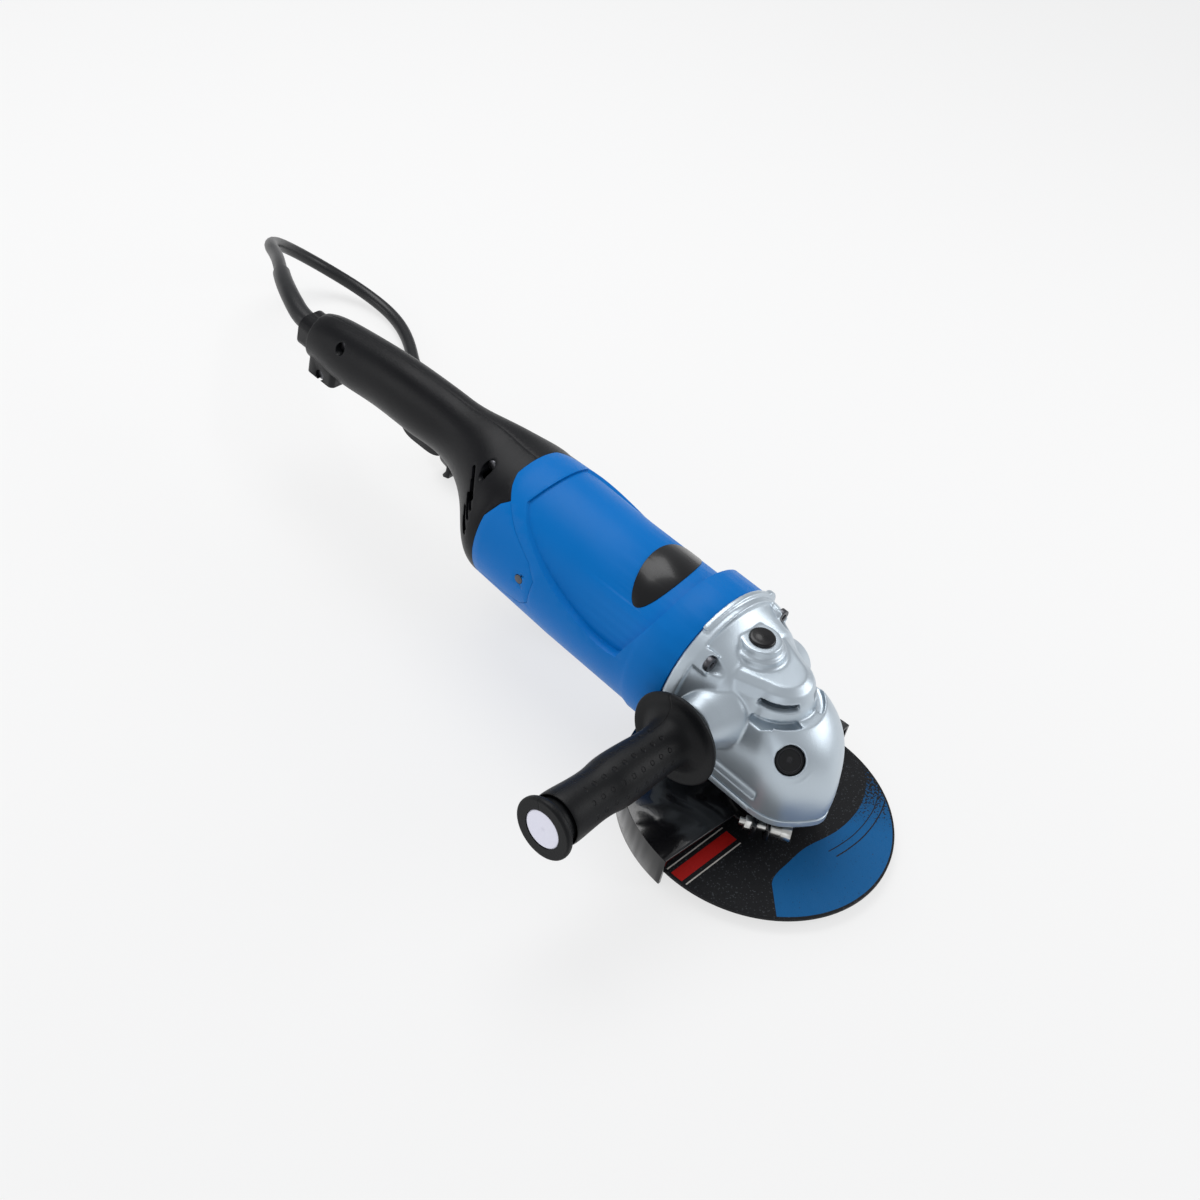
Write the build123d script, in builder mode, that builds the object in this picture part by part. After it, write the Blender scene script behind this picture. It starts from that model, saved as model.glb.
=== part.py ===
from build123d import *
from math import cos, hypot, pi, radians, sin, tan
import os

# Angle grinder for 180 mm discs, in millimetres.
# +X points from the rear handle to the gear head, +Y to the tool's left and +Z up.
# The origin is on the spindle's axis, where the disc seats against the inner flange.

os.makedirs("parts", exist_ok=True)

# Driving sizes
motor_h = 79.3          # height of the motor's axis over the disc's seat
disc_r = 90.0
disc_t = 2.8
disc_bore_r = 11.12
body_r = 53.0           # blue housing, outside
collar_r = 55.5         # its front collar
sunk_r = 47.2           # floor of the sunk panel on its top
bore_r = 44.0           # housing, inside
head_back = -66.0       # joint between gear head and motor housing
handle_front = -237.0   # joint between motor housing and rear handle
handle_end = -446.0
wall = 3.0
fit = 0.1               # clearance round a part that is located in another
free = 0.4              # clearance round a part that moves

spindle_r = 7.0         # M14 thread
side_boss_x = -37.9     # side handle's socket
side_boss_end = 54.0    # its face, from the tool's middle plane
left_boss_end = 47.0    # face of the spare socket on the left
side_grip_len = 129.0
floor_z = -9.0          # the lowest point: guard, nut and cord lie on it
guard_top = 13.5
guard_sheet = 2.0
guard_gap = 3.2         # between the disc's edge and the guard
neck_r = 22.0           # gearbox cover's neck, which carries the guard

cord_d = 10.0
cord_length = 2000.0

pinion_teeth = 12
gear_teeth = 37
gear_pitch_r = 20.0

apex = (0, 0, motor_h)  # where the motor's and the spindle's axes cross
motor_axis = Axis(apex, (1, 0, 0))
side = Plane(origin=apex, x_dir=(1, 0, 0), z_dir=(0, -1, 0))


def across(x):
    """Plane square to the motor's axis at x: its own x is the tool's left, its y is up."""
    return Plane(origin=(x, 0, motor_h), x_dir=(0, 1, 0), z_dir=(1, 0, 0))


def outline(plane, points):
    """A flat face with straight edges between the points."""
    with BuildSketch(plane) as shape:
        with BuildLine():
            Polyline(*points, close=True)
        make_face()
    return shape.sketch


def turn_on_motor(points, mode=Mode.ADD):
    """Turns an outline of (x, radius) points about the motor's axis."""
    revolve(outline(side, points), axis=motor_axis, mode=mode)


def turn_on_spindle(points, mode=Mode.ADD):
    """Turns an outline of (radius, z) points about the spindle's axis."""
    revolve(outline(Plane.XZ, points), axis=Axis.Z, mode=mode)


def ring_on_motor(outer, inner, x0, x1, mode=Mode.ADD):
    """A plain ring or, with inner 0, a rod on the motor's axis."""
    turn_on_motor([(x0, inner), (x1, inner), (x1, outer), (x0, outer)], mode)


def ring_on_spindle(outer, inner, z0, z1, mode=Mode.ADD):
    """A plain ring or, with inner 0, a rod on the spindle's axis."""
    turn_on_spindle([(inner, z0), (outer, z0), (outer, z1), (inner, z1)], mode)


def rod(start, direction, radius, length, mode=Mode.ADD):
    """A round bar from a point, along a direction."""
    with BuildSketch(Plane(origin=start, z_dir=direction)) as end:
        Circle(radius)
    extrude(end.sketch, amount=length, mode=mode)


def save(name, builder):
    builder.part.label = name
    export_step(builder.part, f"parts/{name}.step")


# --- Gear head: one aluminium casting -------------------------------------------------

head_bottom = 31.0
case_half = 35.5        # gear case, half its width
nose_x = 43.0
screw_circle_r = 50.3   # four screws hold the head to the motor housing
screw_angles = (45, 135, 225, 315)
screw_seat_x = -51.0
flange_front = -57.0
dome_x = -18.0
boss_x = -39.0
boss_top = 124.0
shaft_tip_r = 3.0       # motor shaft where it carries the pinion
socket_r = 7.0          # threaded sockets for the side handle
front_bearing_r = 16.0
front_bearing = (-57.0, -47.0)
chamber_r = 27.0
top_bush_r = 8.0
top_bush = (78.5, 89.0)
lock_dir = Vector(0.36, -0.60, 0.714).normalized()
lock_face = Vector(17.3, -22.0, 76.6)
lock_button_r = 9.3
lock_ring_r = 13.4
lock_pin_r = 2.5
lock_travel = 4.0
lock_button_t = 3.2
lock_well = lock_button_t + lock_travel + 0.3
cover_screw_spots = [(-28.0, 24.0), (-28.0, -24.0), (24.5, 22.5), (24.5, -22.5)]
slot_heights = ((103.0, 23.6), (91.6, 27.3))   # height and the dome's radius there


def rounded_section(x, half, top, bottom, radius):
    """Rounded rectangle square to the motor's axis; top and bottom are from the axis."""
    with BuildSketch(across(x)) as shape:
        with Locations((0, (top - bottom) / 2)):
            RectangleRounded(2 * half, top + bottom, radius)
    return shape.sketch


def sector(x, inner, outer, middle, half):
    """Piece of a ring, square to the motor's axis; angles are from the tool's left."""
    with BuildSketch(across(x)) as shape:
        with BuildLine():
            outer_arc = CenterArc((0, 0), outer, middle - half, 2 * half)
            inner_arc = CenterArc((0, 0), inner, middle - half, 2 * half)
            Line(outer_arc @ 0, inner_arc @ 0)
            Line(outer_arc @ 1, inner_arc @ 1)
        make_face()
    return shape.sketch


def dome_plan(z, nose_r, back_half):
    """Level section of the dome: a round front that widens towards the flange."""
    with BuildSketch(Plane.XY.offset(z)) as shape:
        with BuildLine():
            front = CenterArc((dome_x, 0), nose_r, -80, 160)
            one = Line(front @ 1, (flange_front, back_half))
            other = Line(front @ 0, (flange_front, -back_half))
            Line(one @ 1, other @ 1)
        make_face()
    return shape.sketch


with BuildPart() as dome:
    loft([dome_plan(84, 30.5, 50), dome_plan(91, 27.6, 47), dome_plan(104, 24.0, 42),
          dome_plan(110, 20.5, 37), dome_plan(113.5, 15, 31)], ruled=True)

with BuildPart() as plug_boss:
    boss_profile = [(0, 90), (25, 90), (21, 112), (17.5, 115.5), (17.0, 118.5), (14.2, 119.5),
                    (13.2, boss_top), (0, boss_top)]
    revolve(outline(Plane(origin=(boss_x, 0, 0), x_dir=(1, 0, 0), z_dir=(0, -1, 0)), boss_profile),
            axis=Axis((boss_x, 0, 0), (0, 0, 1)))

with BuildPart() as gear_case:
    with BuildSketch(Plane.XY.offset(head_bottom)) as case_foot:
        with BuildLine():
            l1 = Line((-36, 32), (6, 32.5))
            l2 = Spline((6, 32.5), (26, 27), (37, 14), (nose_x, 0), (37, -14), (26, -27), (6, -32.5),
                        tangents=((1, 0), (-1, 0)), tangent_scalars=(1.2, 1.2))
            l3 = Polyline((6, -32.5), (-36, -32), (-36, 32))
        make_face()
    with BuildSketch(Plane.XY.offset(58)) as case_waist:
        with BuildLine():
            l1 = Line((-36, 35), (4, 35.6))
            l2 = Spline((4, 35.6), (26, 29.5), (36.5, 15), (41.5, 0), (36.5, -15), (26, -29.5),
                        (4, -35.6), tangents=((1, 0), (-1, 0)), tangent_scalars=(1.2, 1.2))
            l3 = Polyline((4, -35.6), (-36, -35), (-36, 35))
        make_face()
    with BuildSketch(Plane.XY.offset(76)) as case_shoulder:
        with BuildLine():
            l1 = Line((-36, 34), (0, 35))
            l2 = Spline((0, 35), (20, 29), (29.5, 16), (33.5, 0), (29.5, -16), (20, -29), (0, -35),
                        tangents=((1, 0), (-1, 0)), tangent_scalars=(1.2, 1.2))
            l3 = Polyline((0, -35), (-36, -34), (-36, 34))
        make_face()
    with BuildSketch(Plane.XY.offset(94)) as case_top:
        with BuildLine():
            l1 = Line((-36, 26), (-4, 27))
            l2 = Spline((-4, 27), (8, 20), (14, 10), (16, 0), (14, -10), (8, -20), (-4, -27),
                        tangents=((1, 0), (-1, 0)), tangent_scalars=(1.0, 1.0))
            l3 = Polyline((-4, -27), (-36, -26), (-36, 26))
        make_face()
    loft([case_foot.sketch, case_waist.sketch, case_shoulder.sketch, case_top.sketch])

with BuildPart() as bell:
    with BuildSketch(across(flange_front - 1)) as wide_end:
        Circle(52.5)
    loft([wide_end.sketch, rounded_section(-38, 40, 36, 44, 21), rounded_section(-14, 32, 16, 30, 15)],
         ruled=True)



def screw_spot(angle):
    """Where a head screw sits: y and z."""
    return (screw_circle_r * cos(radians(angle)), motor_h + screw_circle_r * sin(radians(angle)))


boss_ends = ((1, left_boss_end), (-1, side_boss_end))
with BuildPart() as screw_bosses:
    for angle in screw_angles:
        rod((head_back, *screw_spot(angle)), (1, 0, 0), 9.0, 9.0)
        rod((head_back, *screw_spot(angle)), (1, 0, 0), 7.5, 19.0)
    boss_limit = [(head_back - 1, 0), (head_back - 1, 54.5), (flange_front, 54.5), (-50, 53.0),
                  (-44, 50.5), (-40, 48.0), (-40, 0)]
    revolve(outline(side, boss_limit), axis=motor_axis, mode=Mode.INTERSECT)

with BuildPart() as gear_housing:
    add(gear_case.part)
    add(bell.part)
    add(dome.part)
    add(plug_boss.part)
    ring_on_motor(collar_r - 1.0, 0, head_back, flange_front)
    add(screw_bosses.part)
    # an ear at the upper left and a low ridge beside it
    rod((head_back, *screw_spot(45)), (1, 0, 0), 8.8, 4.5)
    extrude(sector(head_back, collar_r - 3, collar_r + 1.4, 82, 38), amount=4.0)
    for way, end in boss_ends:
        boss_plane = Plane(origin=(side_boss_x, 0, motor_h), x_dir=(0, way, 0), z_dir=(1, 0, 0))
        boss_cone = [(20, 0), (20, 25.0), (end - 22, 25.0), (end - 9, 20.0), (end, 15.5), (end, 0)]
        revolve(outline(boss_plane, boss_cone), axis=Axis((side_boss_x, 0, motor_h), (0, 1, 0)))
    # raised ring round the spindle lock
    rod(lock_face - lock_dir * 14, lock_dir, lock_ring_r + 2.2, 13.0)
    # machined inside
    turn_on_spindle([(0, 20), (chamber_r, 20), (chamber_r, 52), (22.5, 60), (22.5, 72.4),
                     (17.2, 76.3), (0, 76.3)], Mode.SUBTRACT)
    ring_on_spindle(top_bush_r + fit / 2, 0, 76, top_bush[1] + 0.5, Mode.SUBTRACT)
    ring_on_motor(9.5, 0, -48, -8, Mode.SUBTRACT)
    ring_on_motor(front_bearing_r + fit / 2, 0, front_bearing[0] - 1, front_bearing[1], Mode.SUBTRACT)
    turn_on_motor([(head_back - 1, 0), (head_back - 1, 46), (head_back + 3, 46), (-58.5, 30),
                   (-58.5, 20), (-57, 20), (-57, 0)], Mode.SUBTRACT)
    # air duct from the fan to the exhaust slots
    with BuildSketch(Plane.XY.offset(98.0)) as duct:
        with Locations((dome_x, 0)):
            Circle(19.5)
        with Locations((-42, 0)):
            Rectangle(50, 24)
    extrude(duct.sketch, amount=10.0, mode=Mode.SUBTRACT)
    for height, radius in slot_heights:
        with BuildSketch(Plane.XY.offset(height - 2.2)) as slot:
            for way in (1, -1):
                with BuildLine():
                    outer_arc = CenterArc((dome_x, 0), radius + 5, way * 17, way * 68)
                    inner_arc = CenterArc((dome_x, 0), radius - 4.4, way * 17, way * 68)
                    Line(outer_arc @ 0, inner_arc @ 0)
                    Line(outer_arc @ 1, inner_arc @ 1)
                make_face()
        extrude(slot.sketch, amount=4.4, mode=Mode.SUBTRACT)
    # screw seats, with a channel in front of each for the screwdriver
    for angle in screw_angles:
        rod((screw_seat_x, *screw_spot(angle)), (1, 0, 0), 5.2, 60.0, Mode.SUBTRACT)
        rod((head_back - 1, *screw_spot(angle)), (1, 0, 0), 2.6, 30.0, Mode.SUBTRACT)
    # threaded sockets: both sides and the top
    for way, end in boss_ends:
        rod((side_boss_x, way * (end + 1), motor_h), (0, -way, 0), socket_r, 21.0, Mode.SUBTRACT)
    rod((boss_x, 0, boss_top + 1), (0, 0, -1), socket_r, 13.0, Mode.SUBTRACT)
    # spindle lock's well and the hole that its pin slides in
    rod(lock_face + lock_dir * 8, -lock_dir, lock_button_r + free, 8 + lock_well, Mode.SUBTRACT)
    rod(lock_face, -lock_dir, lock_pin_r + free / 2, 14.0, Mode.SUBTRACT)
    for spot in cover_screw_spots:
        rod((*spot, head_bottom - 1), (0, 0, 1), 2.1, 13.0, Mode.SUBTRACT)
save("gear_housing", gear_housing)


# --- Gearbox cover, spindle and its bearings ------------------------------------------

cover_sheet = 5.0       # thickness of the cover's flange
neck_end = 9.0          # lowest face of the neck
low_bearing_r = 17.5
low_bearing = (24.0, 34.0)
spindle_step_r = 9.4
journal_r = 8.5
top_journal_r = 5.0

with BuildPart() as gearbox_cover:
    with BuildSketch(Plane.XY.offset(head_bottom - cover_sheet)) as flange:
        with BuildLine():
            l1 = Line((-36, 32.4), (6, 33))
            l2 = Spline((6, 33), (26, 27.5), (37.4, 14.3), (nose_x + 0.5, 0), (37.4, -14.3),
                        (26, -27.5), (6, -33), tangents=((1, 0), (-1, 0)), tangent_scalars=(1.2, 1.2))
            l3 = Polyline((6, -33), (-36, -32.4), (-36, 32.4))
        make_face()
    extrude(amount=cover_sheet)
    ring_on_spindle(neck_r, 0, neck_end, head_bottom)
    ring_on_spindle(chamber_r - fit, 0, head_bottom - 1, low_bearing[1] + 1)
    ring_on_spindle(low_bearing_r + fit / 2, 0, low_bearing[0], low_bearing[1] + 2, Mode.SUBTRACT)
    ring_on_spindle(15.0, 0, 15.0, low_bearing[0] + 1, Mode.SUBTRACT)
    ring_on_spindle(spindle_step_r + free, 0, neck_end - 1, 16, Mode.SUBTRACT)
    for spot in cover_screw_spots:
        rod((*spot, head_bottom - cover_sheet - 1), (0, 0, 1), 2.2, 12.0, Mode.SUBTRACT)
        rod((*spot, head_bottom - cover_sheet - 1), (0, 0, 1), 4.3, 3.8, Mode.SUBTRACT)
save("gearbox_cover", gearbox_cover)

with BuildPart() as cover_screws:
    for spot in cover_screw_spots:
        rod((*spot, head_bottom - cover_sheet + 2.8), (0, 0, -1), 4.0, 2.6)
        rod((*spot, head_bottom - cover_sheet + 2.8), (0, 0, 1), 2.0, 13.0)
save("gearbox_cover_screws", cover_screws)

with BuildPart() as head_screws:
    for angle in screw_angles:
        rod((screw_seat_x, *screw_spot(angle)), (1, 0, 0), 4.6, 3.6)
        rod((screw_seat_x, *screw_spot(angle)), (-1, 0, 0), 2.5, 33.0)
        rod((screw_seat_x + 4.6, *screw_spot(angle)), (-1, 0, 0), 2.0, 3.0, Mode.SUBTRACT)
save("head_screws", head_screws)

with BuildPart() as spindle:
    turn_on_spindle([(0, -8.6), (spindle_r - 0.8, -8.6), (spindle_r, -7.8), (spindle_r, 6.0),
                     (spindle_step_r, 6.0), (spindle_step_r, 21.0), (journal_r, 21.0),
                     (journal_r, low_bearing[1]), (10.5, low_bearing[1]), (10.5, 50.0),
                     (journal_r, 50.0), (journal_r, 68.0), (top_journal_r, 69.0),
                     (top_journal_r, top_bush[1] - 0.6), (0, top_bush[1] - 0.6)])
    # two flats for a spanner
    for way in (1, -1):
        with BuildSketch(Plane.XY.offset(7.0)):
            with Locations((0, way * (spindle_step_r + 3.0))):
                Rectangle(24, 8.0)
        extrude(amount=2.0, mode=Mode.SUBTRACT)
save("spindle", spindle)


def ball_bearing(outer, inner, ring=2.2):
    """Outline of a shielded bearing's section, width from 0 to 1: (radius, share) points."""
    shield = 0.06
    return [(inner, 0), (inner + ring, 0), (inner + ring, shield), (outer - ring, shield),
            (outer - ring, 0), (outer, 0), (outer, 1), (outer - ring, 1),
            (outer - ring, 1 - shield), (inner + ring, 1 - shield), (inner + ring, 1), (inner, 1)]


with BuildPart() as low_spindle_bearing:
    low, high = low_bearing
    turn_on_spindle([(r, low + share * (high - low))
                     for r, share in ball_bearing(low_bearing_r, journal_r + fit / 2)])
save("lower_spindle_bearing", low_spindle_bearing)

with BuildPart() as top_spindle_bush:
    ring_on_spindle(top_bush_r, top_journal_r + fit / 2, *top_bush)
save("upper_spindle_bush", top_spindle_bush)

with BuildPart() as spindle_seal:
    turn_on_spindle([(spindle_step_r + 0.2, 16.2), (15.0 - fit, 16.2), (15.0 - fit, 21.0),
                     (13.5, 21.0), (13.5, 18.0), (11.0, 18.0), (10.6, 20.0), (9.9, 20.0)])
save("spindle_seal", spindle_seal)

with BuildPart() as inner_flange:
    turn_on_spindle([(spindle_r + fit / 2, -disc_t + 0.5), (disc_bore_r - fit, -disc_t + 0.5),
                     (disc_bore_r - fit, 0.0), (15.0, 0.0), (15.0, 0.6), (17.5, 0.6), (17.5, 0.0),
                     (21.0, 0.0), (21.0, 3.2), (13.0, 6.0), (spindle_r + fit / 2, 6.0)])
save("inner_flange", inner_flange)

with BuildPart() as cutting_disc:
    ring_on_spindle(disc_r, disc_bore_r, -disc_t, 0)
save("cutting_disc", cutting_disc)

with BuildPart() as flange_nut:
    turn_on_spindle([(spindle_r + fit / 2, floor_z), (13.0, floor_z), (14.0, floor_z + 1.0),
                     (14.0, -6.0), (20.0, -5.6), (20.0, -disc_t), (15.0, -disc_t),
                     (15.0, -disc_t - 0.5), (spindle_r + fit / 2, -disc_t - 0.5)])
    with BuildSketch(Plane.XY.offset(floor_z - 1)):
        with PolarLocations(17.0, 4):
            Circle(1.8)
    extrude(amount=5.0, mode=Mode.SUBTRACT)
save("flange_nut", flange_nut)

# --- Bevel gears: straight teeth that all point to the apex ---------------------------

tooth_pitch = 2 * pi * gear_pitch_r / gear_teeth
pinion_pitch_r = gear_pitch_r * pinion_teeth / gear_teeth
addendum = 1.0
dedendum = 1.35
backlash = 0.5
face_share = 0.70       # inner end of the teeth, as a share of the way from the apex
lead_in = 0.62


def bevel_gear(teeth, pitch_r, drop, hub_r, hub_end, back, bore):
    """Bevel gear below its apex, which is at (0, 0, 0). drop: from the apex to the pitch circle."""
    long = hypot(pitch_r, drop)
    along = Vector(pitch_r / long, 0, -drop / long)
    out = Vector(drop / long, 0, pitch_r / long)
    tip = Vector(pitch_r, 0, -drop) + out * addendum
    root = Vector(pitch_r, 0, -drop) - out * (dedendum + 0.5)
    blank = [(bore, -hub_end), (hub_r, -hub_end), (hub_r, -back), (root.X - 1.0, -back),
             (root.X, root.Z), (tip.X, tip.Z), (tip.X * face_share, tip.Z * face_share),
             (root.X * face_share, root.Z * face_share), (bore, root.Z * face_share)]
    with BuildPart() as gear:
        revolve(outline(Plane.XZ, blank), axis=Axis.Z)
        gaps = []
        for share in (lead_in, 1.12):
            place = Plane(origin=along * long * share, x_dir=(0, 1, 0), z_dir=along)
            half = tooth_pitch / 4 + backlash / 2
            low, high = -dedendum * share, (addendum + 1.0) * share
            slope = tan(radians(20))
            gaps.append(outline(place, [(-(half + low * slope) * share, low), ((half + low * slope) * share, low),
                                        ((half + high * slope) * share, high),
                                        (-(half + high * slope) * share, high)]))
        gap = loft(gaps, mode=Mode.PRIVATE)
        with PolarLocations(0, teeth):
            add(gap, mode=Mode.SUBTRACT)
    return gear.part


with BuildPart() as bevel_gear_wheel:
    with Locations(Location(apex)):
        add(bevel_gear(gear_teeth, gear_pitch_r, pinion_pitch_r, 13.0, motor_h - 50.0, motor_h - 60.0,
                       journal_r + fit / 2))
    # notches that the lock pin drops into
    with BuildSketch(Plane(origin=lock_face - lock_dir * 8.0, z_dir=-lock_dir)) as notch_end:
        Circle(lock_pin_r + 1.0)
    notch = extrude(notch_end.sketch, amount=10.0, mode=Mode.PRIVATE)
    with PolarLocations(0, 6):
        add(notch, mode=Mode.SUBTRACT)
save("bevel_gear", bevel_gear_wheel)

with BuildPart() as bevel_pinion:
    with Locations(Plane(origin=apex, x_dir=(0, 0, -1), z_dir=(1, 0, 0)).location):
        add(bevel_gear(pinion_teeth, pinion_pitch_r, gear_pitch_r, 6.0, 34.0, 22.0,
                       shaft_tip_r + fit / 2))
save("bevel_pinion", bevel_pinion)

# --- Motor: armature on its shaft, field, brushes -------------------------------------

shaft_r = 5.0
rear_bearing_r = 11.0
rear_bearing = (-230.0, -223.0)
stator_r = 41.0
stator = (-182.0, -126.0)
rotor_r = 23.4
air_gap = 0.8
commutator = (-212.0, -197.0)
commutator_r = 14.5
fan = (-102.0, -84.0)
fan_r = 41.0

with BuildPart() as armature_shaft:
    turn_on_motor([(rear_bearing[0], 0), (rear_bearing[0], 4.0), (rear_bearing[1] + 0.2, 4.0),
                   (rear_bearing[1] + 0.2, shaft_r), (-62.0, shaft_r), (-62.0, 7.0),
                   (front_bearing[0] - 0.2, 7.0), (front_bearing[0] - 0.2, 6.0),
                   (front_bearing[1], 6.0), (-34.1, 6.0), (-34.1, shaft_tip_r),
                   (-9.6, shaft_tip_r), (-9.6, 0)])
save("armature_shaft", armature_shaft)

with BuildPart() as front_motor_bearing:
    back, front = front_bearing
    turn_on_motor([(back + share * (front - back), r)
                   for r, share in ball_bearing(front_bearing_r, 6.0 + fit / 2)])
save("front_motor_bearing", front_motor_bearing)

with BuildPart() as rear_motor_bearing:
    back, front = rear_bearing
    turn_on_motor([(back + share * (front - back), r)
                   for r, share in ball_bearing(rear_bearing_r, 4.0 + fit / 2, 1.6)])
save("rear_motor_bearing", rear_motor_bearing)

with BuildPart() as pinion_nut:
    with BuildSketch(across(-13.6)):
        RegularPolygon(5.2, 6)
        Circle(shaft_tip_r + fit / 2, mode=Mode.SUBTRACT)
    extrude(amount=3.4)
save("pinion_nut", pinion_nut)

with BuildPart() as armature_core:
    ring_on_motor(rotor_r, shaft_r + fit / 2, *stator)
    with BuildSketch(across(stator[0])):
        with PolarLocations(rotor_r - 1.2, 12):
            Rectangle(3.0, 1.2)
    extrude(amount=stator[1] - stator[0], mode=Mode.SUBTRACT)
save("armature_core", armature_core)

with BuildPart() as armature_windings:
    for back, front in ((stator[0] - 12, stator[0]), (stator[1], stator[1] + 12)):
        turn_on_motor([(back, shaft_r + fit / 2), (front, shaft_r + fit / 2), (front, 20.0),
                       (back + 3, 20.0), (back, 17.0)] if front == stator[0] else
                      [(back, shaft_r + fit / 2), (front, shaft_r + fit / 2), (front, 17.0),
                       (front - 3, 20.0), (back, 20.0)])
save("armature_windings", armature_windings)

with BuildPart() as commutator_ring:
    ring_on_motor(commutator_r, shaft_r + fit / 2, *commutator)
    with BuildSketch(across(commutator[0])):
        with PolarLocations(commutator_r, 24):
            Rectangle(2.0, 0.5)
    extrude(amount=commutator[1] - commutator[0], mode=Mode.SUBTRACT)
save("commutator", commutator_ring)

with BuildPart() as cooling_fan:
    ring_on_motor(fan_r, shaft_r + fit / 2, fan[0], fan[0] + 2.0)
    ring_on_motor(11.0, shaft_r + fit / 2, fan[0], fan[1] - 4.0)
    with BuildSketch(across(fan[0] + 1.0)):
        with PolarLocations(27.0, 11):
            Rectangle(25.0, 2.2, rotation=24)
    extrude(amount=fan[1] - fan[0] - 1.0)
save("cooling_fan", cooling_fan)

pole_in = rotor_r + air_gap
coil_in = 30.0
coil_out = 36.6
coil_gap = 0.5


stator_length = stator[1] - stator[0]
with BuildPart() as stator_core:
    ring_on_motor(stator_r, pole_in, *stator)
    for middle in (0, 180):
        extrude(sector(stator[0], coil_in - coil_gap, coil_out + coil_gap, middle, 52),
                amount=stator_length, mode=Mode.SUBTRACT)
        extrude(sector(stator[0], pole_in - 1, coil_in, middle, 12),
                amount=stator_length, mode=Mode.SUBTRACT)
save("stator_core", stator_core)

with BuildPart() as field_coils:
    for pole in (90, 270):
        for way in (1, -1):
            extrude(sector(stator[0] - 12, coil_in, coil_out, pole + way * 64, 22),
                    amount=stator_length + 24)
        for x in (stator[0] - 12, stator[1] + 1):
            extrude(sector(x, coil_in, coil_out, pole, 44), amount=11)
save("field_coils", field_coils)

# --- Motor housing: blue plastic tube --------------------------------------------------

body_taper_r = 49.5      # outside at the rear
rear_joint = [(-250, 60), (-236.5, 60), (-236.5, 46), (-232.5, 42.0), (-225.5, 37.0),
              (-230.5, 33.0), (-236.5, 22.0), (-237.0, -60), (-250, -60)]
panel_edge = [(-216.0, 41.0), (-201.6, 31.0), (-185.0, 22.5), (-165.0, 14.0), (-140.0, 6.5),
              (-120.0, 3.5), (-105.0, 5.5)]
cover_edge = [(-245.0, 37.2), (-226.5, 37.2), (-211.0, 27.5), (-190.0, 17.5), (-181.5, 9.0),
              (-183.0, -11.0), (-190.0, -18.0), (-206.0, -22.5), (-245.0, -26.0)]
cover_screw = (-193.0, 2.5)
cover_sheet_r = 2.4      # thickness of the brush covers
cover_gap = 0.25
cover_screw_seat = 50.2   # how far from the middle plane its screw's head sits


def body_outline(grow=0.0):
    """Outer outline of the housing as (x, radius); grow moves it outwards."""
    return [(head_back, collar_r + grow), (-92.0, collar_r + grow), (-98.0, body_r + 1 + grow),
            (-170.0, body_r - 0.5 + grow), (handle_front, body_taper_r + grow)]


with BuildPart() as rear_zone:
    with BuildSketch(side):
        with BuildLine():
            Polyline(*rear_joint, close=True)
        make_face()
    extrude(amount=70, both=True)

with BuildPart() as rear_zone_inside:
    turn_on_motor([(-260, 0), (-260, 70), (-200, 70), (-200, 0)])
    with BuildSketch(side) as zone_shape:
        with BuildLine():
            Polyline(*rear_joint, close=True)
        make_face()
        offset(amount=-0.15, kind=Kind.INTERSECTION)
    extrude(zone_shape.sketch, amount=70, both=True, mode=Mode.SUBTRACT)
    with BuildSketch(side) as behind:
        with Locations((-253, 0)):
            Rectangle(30, 160)
    extrude(behind.sketch, amount=75, both=True, mode=Mode.SUBTRACT)

with BuildPart() as sunk_panel:
    with BuildSketch(side) as panel_shape:
        with BuildLine():
            edge = Spline(*panel_edge)
            rear = Line((-209.0, 60.0), edge @ 0)
            front = Spline(edge @ 1, (-97.0, 26.0), (-91.0, 44.0), (-90.0, 60.0))
            Line(front @ 1, rear @ 0)
        make_face()
    extrude(amount=70, both=True)
    turn_on_motor([(-240, 0), (-240, sunk_r + 1.8), (-212, sunk_r + 1.6), (-160, sunk_r),
                   (-80, sunk_r), (-80, 0)], Mode.SUBTRACT)

with BuildPart() as cover_zone:
    with BuildSketch(side):
        with BuildLine():
            Polyline(*cover_edge, close=True)
        make_face()
    extrude(amount=70, both=True)

with BuildPart() as cover_seats:
    turn_on_motor([(x, r + 3) for x, r in body_outline()]
                  + [(x, r - cover_sheet_r) for x, r in reversed(body_outline())])
    with BuildSketch(side) as seat_shape:
        with BuildLine():
            Polyline(*cover_edge, close=True)
        make_face()
        offset(amount=cover_gap, kind=Kind.INTERSECTION)
    extrude(seat_shape.sketch, amount=70, both=True, mode=Mode.INTERSECT)

badge_x = -117.0
badge_half = (14.0, 34.5)   # along the tool and round it
badge_turn = 8.0            # the oval is turned a little about +Z
badge_sheet = 1.4


def badge_prism(grow):
    """The oval as a tall prism over the housing's top."""
    with BuildSketch(Plane.XY.offset(motor_h + 5)) as oval:
        with Locations(Location((badge_x, 0), badge_turn)):
            Ellipse(badge_half[0] + grow, badge_half[1] + grow)
    return extrude(oval.sketch, amount=60, mode=Mode.PRIVATE)


with BuildPart() as badge_seat:
    ring_on_motor(sunk_r + 3, sunk_r - badge_sheet, -170, -98)
    add(badge_prism(0.15), mode=Mode.INTERSECT)

with BuildPart() as badge:
    ring_on_motor(sunk_r + 0.3, sunk_r - badge_sheet, -170, -98)
    add(badge_prism(0.0), mode=Mode.INTERSECT)
save("badge", badge)

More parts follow.
